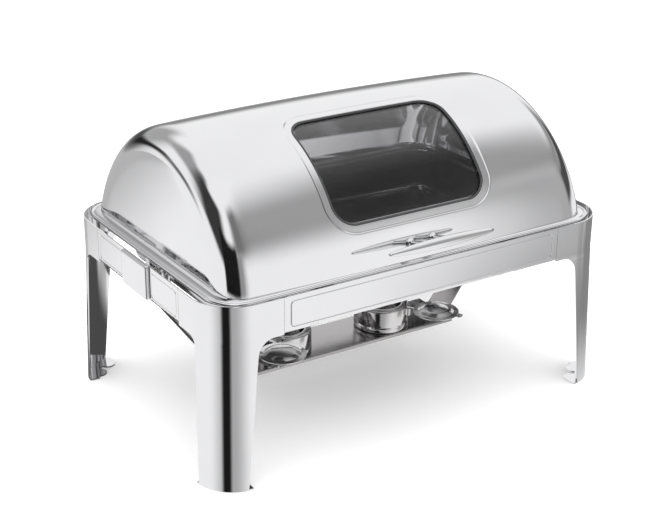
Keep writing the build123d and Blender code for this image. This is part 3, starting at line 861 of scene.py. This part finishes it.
SEAM_GAP = 0.4
LONG_PANEL = [(0, FRONT_SEAM_X - 9)]
BAND_HALF = 37.0
end_panel_middle = (SIDE_SEAM_Y + BAND_HALF) / 2
end_panel_half = (SIDE_SEAM_Y - BAND_HALF - 10) / 2
END_PANELS = [(end_panel_middle, end_panel_half), (-end_panel_middle, end_panel_half)]
for name, angle, half, face, hem, panels in (
    ("front_apron", 0, FRONT_SEAM_X - SEAM_GAP, FRAME_HALF_Y, 16.0, LONG_PANEL),
    ("rear_apron", 180, FRONT_SEAM_X - SEAM_GAP, FRAME_HALF_Y, 0, LONG_PANEL),
    ("end_apron_right", 90, SIDE_SEAM_Y - SEAM_GAP, FRAME_HALF_X, 9.0, END_PANELS),
    ("end_apron_left", -90, SIDE_SEAM_Y - SEAM_GAP, FRAME_HALF_X, 9.0, END_PANELS),
):
    apron = make_apron(angle, half, face, hem, panels)
    finish_piece(f"{name}_sheet", apron, POLISHED, "stand", "polished_steel", name)


def make_hinge_band(angle):
    """A shallow pressed cover over a pivot, standing proud of the end apron."""
    low, high = 207.0, FRAME_TOP - 0.4
    half_z = (high - low) / 2
    turn = Matrix.Rotation(math.radians(angle), 3, "Z")
    proud, round_edge, power = 5.0, 3.4, 2.2

    def shape(u, v):
        inward = -distance_to_rounded(u, v, BAND_HALF, half_z, 3.0)
        share = min(1.0, max(0.0, inward / round_edge))
        rise = proud * (1 - (1 - share) ** power) ** (1 / power)
        return turn @ Vector((u, -FRAME_HALF_X - rise, v + (low + high) / 2))

    lines = [
        rounded(BAND_HALF - g, half_z - g, max(3.0 - g, 0.3), 6, 16)
        for g in (0, 0.02, 0.1, 0.3, 0.7, 1.2, 1.8, 2.6, round_edge)
    ]
    flat = cut_sheet(lines, lambda u, v: inside(lines[0], u, v), steps(-33, 33, 8), steps(-20, 20, 5), 2.0)
    return bent_sheet(flat, shape, SHEET)


for side, angle in (("right", 90), ("left", -90)):
    band = f"hinge_band_{side}"
    finish_piece(f"hinge_cover_{side}", make_hinge_band(angle), POLISHED, "stand", "polished_steel", band)


# ---- pans
PAN_SHEET = 1.2


def make_pan(rim, body, top, depth, corner):
    """A pressed pan with a turned-down rim, upright walls and a rounded floor edge."""
    def ring(share, inset, z):
        # share runs from the body, 0, to the rim's outer edge, 1.
        size = [b + (r - b) * share for r, b in zip(rim, body)]
        radius = max(size[2] - inset, 3)
        return rectangle_ring(size[0] / 2 - inset, size[1] / 2 - inset, radius, z, 10, 5)

    floor = top - depth
    under = [ring(0, 60, floor), ring(0, corner, floor)]
    under += [ring(0, corner - corner * math.sin(a), floor + corner - corner * math.cos(a))
              for a in steps(0, math.pi / 2, 8)[1:]]
    under += [ring(0, 0, top - 6), ring(0.06, 0, top - 2.6), ring(0.16, 0, top - PAN_SHEET - 0.4)]
    under += [ring(0.3, 0, top - PAN_SHEET), ring(0.9, 0, top - PAN_SHEET), ring(0.93, 0, top - 2.4)]
    over = [ring(1, 0, top - 2.6), ring(1, 0, top - 1.0), ring(0.985, 0, top - 0.3), ring(0.95, 0, top)]
    over += [ring(0.24, 0, top), ring(0.1, 0, top - 0.35), ring(0, 0.2, top - 1.5), ring(0, 0.9, top - 3.2)]
    over += [ring(0, PAN_SHEET, top - 6)]
    inner = corner - PAN_SHEET
    over += [ring(0, PAN_SHEET + inner - inner * math.cos(a), floor + corner - inner * math.sin(a))
             for a in steps(0, math.pi / 2, 8)]
    over += [ring(0, 60, floor + PAN_SHEET)]
    return ring_loft(under + over, False, 50)


PAN_RIM_Z = 266.0
# Each pan is its rim and its body, as (length, width, corner), its top, its depth and its floor's round.
WATER_SIZES = ((560.0, 344.0, 30.0), (524.0, 314.0, 40.0), PAN_RIM_Z, 73.0, 14.0)
FOOD_SIZES = ((530.0, 325.0, 28.0), (505.0, 300.0, 34.0), PAN_RIM_Z + PAN_SHEET, 65.0, 12.0)
finish_piece("water_tray", make_pan(*WATER_SIZES), SATIN, "stand", "satin_steel", "water_pan")
# The food pan takes the darker steel: painted shade for its place under the lid.
finish_piece("food_tray", make_pan(*FOOD_SIZES), SHADED_STEEL, "stand", "satin_steel", "food_pan")


# ---- burner shelf
SHELF_Z = 50.5
SHELF_HALF_X = 190.0
SHELF_FRONT = -28.0
SHELF_BACK = 58.0
BURNER_X = 86.0
BURNER_Y = 14.0
SHELF_SHEET = 1.5
LOOK_ALONG_X = Matrix(((0, 0, 1, 0), (1, 0, 0, 0), (0, 1, 0, 0), (0, 0, 0, 1)))   # local X is Y, Y is Z


def make_shelf():
    """A long tray with its two edges turned down."""
    low, top = SHELF_Z - 4, SHELF_Z + SHELF_SHEET
    line = bent_path([(SHELF_FRONT, low), (SHELF_FRONT, top), (SHELF_BACK, top), (SHELF_BACK, low)], 2.2)
    return extruded(thick_outline(line[::-1], SHELF_SHEET), LOOK_ALONG_X, 2 * SHELF_HALF_X)


HANGER_SHEET = 2.5
HANGER_X = 279.0            # the inner face of the cradle, which the strap hangs on
HANGER_TOP = 262.0
HANGER_HALF = 22.0
NOTCH = 9.5
PIVOT_Z = 224.0


def make_hanger(hand):
    """A wide bent strap from the cradle down to the shelf, notched where it passes the pivot's nut."""
    inner, half = HANGER_X - HANGER_SHEET, HANGER_HALF
    corners = [(inner, HANGER_TOP), (inner, 164), (SHELF_HALF_X + 3, SHELF_Z), (SHELF_HALF_X - 30, SHELF_Z)]
    line = bent_path(corners, 9.0)
    run = along(line)
    notch = HANGER_TOP - PIVOT_Z
    outline = [(0.0, half)] + [(u, half) for u in steps(4, run[-1] - 8, 40)]
    outline += arc_points((run[-1] - 8, half - 8), 8, 90, 0, 6)[1:]
    outline += arc_points((run[-1] - 8, 8 - half), 8, 0, -90, 6)
    outline += [(u, -half) for u in steps(run[-1] - 12, notch + NOTCH, 40)]
    outline += [(notch + NOTCH, -BURNER_Y - 1)] + arc_points((notch, -BURNER_Y), NOTCH, 0, 180, 16)
    outline += [(notch - NOTCH, -BURNER_Y - 1), (notch - NOTCH, -half), (0.0, -half)]

    def shape(u, v):
        spot = 0
        while spot < len(run) - 2 and run[spot + 1] < u:
            spot += 1
        share = (u - run[spot]) / (run[spot + 1] - run[spot])
        (x0, z0), (x1, z1) = line[spot], line[spot + 1]
        return Vector((hand * (x0 + (x1 - x0) * share), BURNER_Y + v, z0 + (z1 - z0) * share))

    flat = cut_sheet([outline], lambda u, v: inside(outline, u, v), run, steps(-18, 18, 4), 0.8)
    return bent_sheet(flat, shape, HANGER_SHEET, hand)


# The burner shelf and its hangers take the darker steel: painted shade for their place low under the stand.
soften(finish_piece("burner_tray", make_shelf(), SHADED_STEEL, "stand", "satin_steel", "burner_shelf"))
for side, sx in (("right", 1), ("left", -1)):
    finish_piece(f"tray_hanger_{side}", make_hanger(sx), SHADED_STEEL, "stand", "satin_steel", "shelf_hangers")


# ---- burners
CUP_RADIUS = 31.0
CUP_TOP = 89.2
HOLDER_RADIUS = 41.0
HOLDER_TOP = 88.0
PIN_REACH = 44.2
PIN_TURN = -58.0
SHELF_TOP = SHELF_Z + SHELF_SHEET
WALL = 1.2
BURNER_LID_SWING = 180.0


def make_holder(place):
    """The outer pot that stands on the shelf, its top turned in, with a lug for the lid's pin."""
    r, low, top, mouth = HOLDER_RADIUS, SHELF_TOP, HOLDER_TOP, CUP_RADIUS + 0.6
    section = [(0, low), (r - 3, low)] + arc_points((r - 3, low + 3), 3, -90, 0, 6)
    section += [(r, low + 9), (r - 0.5, low + 9.8), (r - 0.5, low + 10.8), (r, low + 11.6)]
    section += arc_points((r - 2.4, top - 2.4), 2.4, 0, 90, 8) + [(mouth, top), (mouth, top - WALL)]
    section += arc_points((r - 2.4, top - 2.4), 1.2, 90, 0, 6)
    section += [(r - WALL, low + 4)] + arc_points((r - 4.2, low + 4.2), 3, 0, -90, 5) + [(0, low + WALL)]
    lug = [(r - 0.4, -4)] + arc_points((PIN_REACH, 0), 4, -90, 90, 16) + [(r - 0.4, 4)]
    return joined([
        turned(section, place, 96), extruded(lug, place @ Matrix.Translation((0, 0, top - 7)), 10)
    ])


def make_cup(place):
    """The fuel cup: a spun wall hung by its curled lip, with a raised ring in its floor."""
    r, low, top = CUP_RADIUS, SHELF_TOP + WALL, CUP_TOP
    section = [(0, low), (r - 3, low)] + arc_points((r - 3, low + 3), 3, -90, 0, 5)
    section += [(r, HOLDER_TOP), (r + 3.4, HOLDER_TOP)]
    section += arc_points((r + 3.4, top - 0.6), 0.6, -90, 90, 6)
    section += arc_points((r + 1.2, top - 2.4), 2.4, 90, 180, 6)
    section += [(r - WALL, low + 4)] + arc_points((r - 4.2, low + 4.2), 3, 0, -90, 5)
    section += [(r - 9, low + WALL), (r - 11, low + WALL + 1), (r - 14, low + WALL + 1), (r - 16, low + WALL)]
    section += [(0, low + WALL)]
    return turned(section, place, 96)


def make_snuffer(place):
    """The burner's lid, drawn shut: a dished disc with a curled edge, its arm and a lifting tab."""
    under = CUP_TOP + 0.5
    section = [(0, under + 5), (16, under + 4.7), (20, under + 3.9)]
    section += [(25.4, under + 0.6), (27, under), (32.6, under)]
    section += arc_points((33.2, under + 0.7), 0.7, -90, 90, 6)
    section += [(27.3, under + 1.3), (25.9, under + 1.8)]
    section += [(20.5, under + 5.1), (16.4, under + 5.9), (0, under + 6.2)]
    arm = [(32.4, -5)] + arc_points((PIN_REACH, 0), 5, -90, 90, 16) + [(32.4, 5)]
    tab = [(x - 36.6, y) for x, y in rounded(4.4, 6, 3.5, 6, 2)]
    lift = place @ Matrix.Translation((0, 0, under + 0.7))
    return joined([turned(section, place, 96), extruded(arm, lift, 1.2), extruded(tab, lift, 1.2)])


for side, sx in (("left", -1), ("right", 1)):
    base = Matrix.Diagonal((sx, 1, 1, 1)) @ Matrix.Translation((BURNER_X, BURNER_Y, 0))
    base = base @ Matrix.Rotation(math.radians(PIN_TURN), 4, "Z")
    pin = Matrix.Translation((PIN_REACH, 0, 0))
    swing = pin @ Matrix.Rotation(math.radians(-BURNER_LID_SWING), 4, "Z") @ pin.inverted()
    pot, cup, lid = f"burner_holder_{side}", f"fuel_cup_{side}", f"burner_lid_{side}"
    finish_piece(f"burner_dish_{side}", make_holder(base), BURNER, "stand", "burner_steel", pot)
    finish_piece(f"burner_cup_{side}", make_cup(base), BURNER, "stand", "burner_steel", cup)
    finish_piece(f"snuffer_{side}", make_snuffer(base @ swing), BURNER, lid, "burner_steel", lid)


# ---- CAD pieces that stay
SLOT_MATERIALS = {
    "polished_steel": POLISHED, "satin_steel": SATIN, "burner_steel": BURNER, "fastener_steel": FASTENER,
    "handle_steel": HANDLE_STEEL, "window_glass": GLASS, "gasket_rubber": RUBBER, "pad_silicone": PAD,
    "bush_plastic": NYLON,
}
for part in frame["record"]["subparts"]:
    node = NODES[part["node"]]
    node.data.materials.clear()
    node.data.materials.append(SLOT_MATERIALS[part["material_slot"]])
    if not node.hide_render:
        soften(node, 0.25)


# ---- studio
def maths(tree, operation, *values):
    """A maths node on numbers or other nodes' outputs."""
    node = add(tree, "ShaderNodeMath", operation=operation)
    for socket, value in zip(node.inputs, values):
        if isinstance(value, (int, float)):
            socket.default_value = value
        else:
            tree.links.new(value, socket)
    return node.outputs[0]


def soft_edge(tree, value, start, end):
    """A smooth rise from 0 at start to 1 at end."""
    node = add(tree, "ShaderNodeMapRange", interpolation_type="SMOOTHSTEP")
    node.inputs["From Min"].default_value = start
    node.inputs["From Max"].default_value = end
    tree.links.new(value, node.inputs["Value"])
    return node.outputs["Result"]


def either(tree, level, mask, brightness):
    """Mix a brightness over a level by a mask."""
    change = maths(tree, "MULTIPLY", mask, maths(tree, "SUBTRACT", brightness, level))
    return maths(tree, "ADD", level, change)


def studio_world(base, panels):
    """Soft studio light as a sky: a base brightness with soft-edged panels at set directions.

    Each panel is (azimuth, half width, softness, lowest, highest, softness, brightness), in degrees.
    """
    world = bpy.data.worlds.new("studio")
    world.use_nodes = True
    bpy.context.scene.world = world
    tree = world.node_tree
    tree.nodes.clear()
    place = add(tree, "ShaderNodeTexCoord")
    split = add(tree, "ShaderNodeSeparateXYZ")
    tree.links.new(place.outputs["Generated"], split.inputs["Vector"])
    x, y, z = split.outputs
    height = maths(tree, "ARCSINE", z)
    flat = maths(tree, "SQRT", maths(tree, "SUBTRACT", 1.0, maths(tree, "POWER", z, 2.0)))
    flat = maths(tree, "MAXIMUM", flat, 0.001)

    def turned_from(azimuth, half_width, softness):
        """Within an angle either side of an azimuth, with soft edges."""
        along = maths(tree, "MULTIPLY", x, math.cos(math.radians(azimuth)))
        across = maths(tree, "MULTIPLY", y, math.sin(math.radians(azimuth)))
        turn = maths(tree, "ARCCOSINE", maths(tree, "DIVIDE", maths(tree, "ADD", along, across), flat))
        wide, soft = math.radians(half_width), math.radians(softness)
        return soft_edge(tree, turn, wide + soft, wide - soft)

    level = base        # a plain number, until the first panel is mixed over it
    for azimuth, half_width, side_softness, lowest, highest, softness, brightness in panels:
        mask = turned_from(azimuth, half_width, side_softness)
        low, high, soft = math.radians(lowest), math.radians(highest), math.radians(softness)
        mask = maths(tree, "MULTIPLY", mask, soft_edge(tree, height, low - soft, low + soft))
        mask = maths(tree, "MULTIPLY", mask, soft_edge(tree, height, high + soft, high - soft))
        level = either(tree, level, mask, brightness)
    # The panels show in the metal alone, so the floor is lit evenly and the backdrop stays plain.
    path = add(tree, "ShaderNodeLightPath")
    plain = add(tree, "ShaderNodeMix", data_type="FLOAT")
    plain.inputs["A"].default_value = STUDIO_FILL
    tree.links.new(path.outputs["Is Glossy Ray"], plain.inputs["Factor"])
    tree.links.new(level, plain.inputs["B"])
    background = add(tree, "ShaderNodeBackground")
    tree.links.new(plain.outputs["Result"], background.inputs["Strength"])
    output = add(tree, "ShaderNodeOutputWorld")
    tree.links.new(background.outputs["Background"], output.inputs["Surface"])


STUDIO_BASE = 1.3
STUDIO_FILL = 2.2             # the even light on the floor and on what is not polished
STUDIO_PANELS = [
    (65, 50, 8, -9, 8, 6, 0.34),
    (95, 22, 10, 6, 36, 8, 0.55),
    (92, 17, 8, -3, 8, 4, 0.1),
    (112, 16, 4, 0, 7, 2.5, 0.02),
    (133, 8, 6, -2, 5, 3, 0.16),
    (138, 32, 12, 30, 62, 7, 0.5),
    (162, 12, 10, 32, 66, 7, 0.28),
    (-48, 34, 18, 24, 58, 11, 0.5),
    (-86, 18, 12, 27, 62, 6, 0.26),
    (-105, 22, 9, -3, 30, 4, 0.42),
    (-175, 32, 13, 12, 57, 5, 0.055),
    (-132, 31, 4, -3, 36, 4, 0.012),
    (-38, 12, 6, -30, 28, 6, 0.6),
    (-5, 28, 8, 22, 34, 5, 0.4),
    (-5, 27, 5, 2, 22, 4, 0.1),
    (-128, 32, 24, -90, -6, 4, 0.6),
    (-138, 11, 5, -90, -6, 4, 0.015),
]
studio_world(STUDIO_BASE, STUDIO_PANELS)


def flat_square(name, s, height):
    """A square lying at a height, which is part of the studio and not of the object."""
    mesh = bpy.data.meshes.new(name)
    mesh.from_pydata([(-s, -s, height), (s, -s, height), (s, s, height), (-s, s, height)], [], [(0, 1, 2, 3)])
    square = bpy.data.objects.new(name, mesh)
    bpy.context.scene.collection.objects.link(square)
    return square


def studio_floor():
    """A plain pale floor, which the polished metal does not mirror."""
    floor = flat_square("floor", 9, 0)
    material, tree, shader = new_material("pale_floor")
    tree.links.new(
        tint(tree, noise(tree, 2, 2), (0.93, 0.93, 0.93), (0.97, 0.97, 0.97)), shader.inputs["Base Color"]
    )
    shader.inputs["Roughness"].default_value = 0.9
    floor.data.materials.append(material)
    floor.visible_glossy = False


# Each shade is (turn in degrees, middle and half size along, middle and half size across, softness,
# brightness), in metres.
TABLE_SHADES = [
    (0, 0.95, 0.6, 0.1, 0.6, 0.22, 0.28),
    (38.7, 1.02, 1.0, 1.8, 1.2, 0.13, 0.55),
    # Painted shadow: the dark patch under the stand.
    (0, -0.11, 0.25, 0.30, 0.20, 0.06, 0.08),
]


def table_shades():
    """A glowing card that only the polished metal mirrors, with darker patches of the table top on it; the
    patch under the stand is a painted shadow.
    """
    card = flat_square("table_shades", 4, -0.001)
    material = bpy.data.materials.new("shades")
    material.use_nodes = True
    tree = material.node_tree
    tree.nodes.clear()
    place = add(tree, "ShaderNodeTexCoord")
    split = add(tree, "ShaderNodeSeparateXYZ")
    tree.links.new(place.outputs["Object"], split.inputs["Vector"])
    clear, level = 1.0, 0.0
    for turn, along, half_along, across, half_across, soft, brightness in TABLE_SHADES:
        cos, sin = math.cos(math.radians(turn)), math.sin(math.radians(turn))
        mask = 1.0
        for part_x, part_y, middle, half in ((cos, sin, along, half_along), (-sin, cos, across, half_across)):
            off = maths(tree, "MULTIPLY", split.outputs["X"], part_x)
            off = maths(tree, "ADD", off, maths(tree, "MULTIPLY", split.outputs["Y"], part_y))
            off = maths(tree, "ABSOLUTE", maths(tree, "SUBTRACT", off, middle))
            mask = maths(tree, "MULTIPLY", mask, soft_edge(tree, off, half + soft, half - soft))
        level = either(tree, level, mask, brightness)
        clear = maths(tree, "MULTIPLY", clear, maths(tree, "SUBTRACT", 1.0, mask))
    # The patches glow at their brightness, as painted shade for the metal to mirror; elsewhere the card lets
    # rays through.
    glow = add(tree, "ShaderNodeEmission")
    tree.links.new(level, glow.inputs["Strength"])
    see_through = add(tree, "ShaderNodeBsdfTransparent")
    tree.links.new(clear, see_through.inputs["Color"])
    both = add(tree, "ShaderNodeAddShader")
    tree.links.new(glow.outputs["Emission"], both.inputs[0])
    tree.links.new(see_through.outputs["BSDF"], both.inputs[1])
    output = add(tree, "ShaderNodeOutputMaterial")
    tree.links.new(both.outputs["Shader"], output.inputs["Surface"])
    card.data.materials.append(material)
    for kind in ("camera", "diffuse", "transmission", "volume_scatter", "shadow"):
        setattr(card, "visible_" + kind, False)


studio_floor()
table_shades()

CAMERA_PLACE = Vector((-1044.72, -1577.01, 978.13))
CAMERA_TARGET = Vector((-18.23, 0.0, 179.97))
CAMERA_ROLL = 0.536
CAMERA_LENS = 77.93


def make_camera():
    """The viewing angle, placed from the stand's plan centre."""
    data = bpy.data.cameras.new("camera")
    data.lens = CAMERA_LENS
    data.sensor_width = 36
    data.clip_end = 50
    camera = bpy.data.objects.new("camera", data)
    bpy.context.scene.collection.objects.link(camera)
    aim = (CAMERA_TARGET - CAMERA_PLACE).to_track_quat("-Z", "Y").to_matrix().to_4x4()
    roll = Matrix.Rotation(math.radians(CAMERA_ROLL), 4, "Z")
    camera.matrix_world = Matrix.Translation(to_frame(CAMERA_PLACE)) @ aim @ roll
    bpy.context.scene.camera = camera


make_camera()
bpy.context.scene.view_settings.view_transform = "Standard"
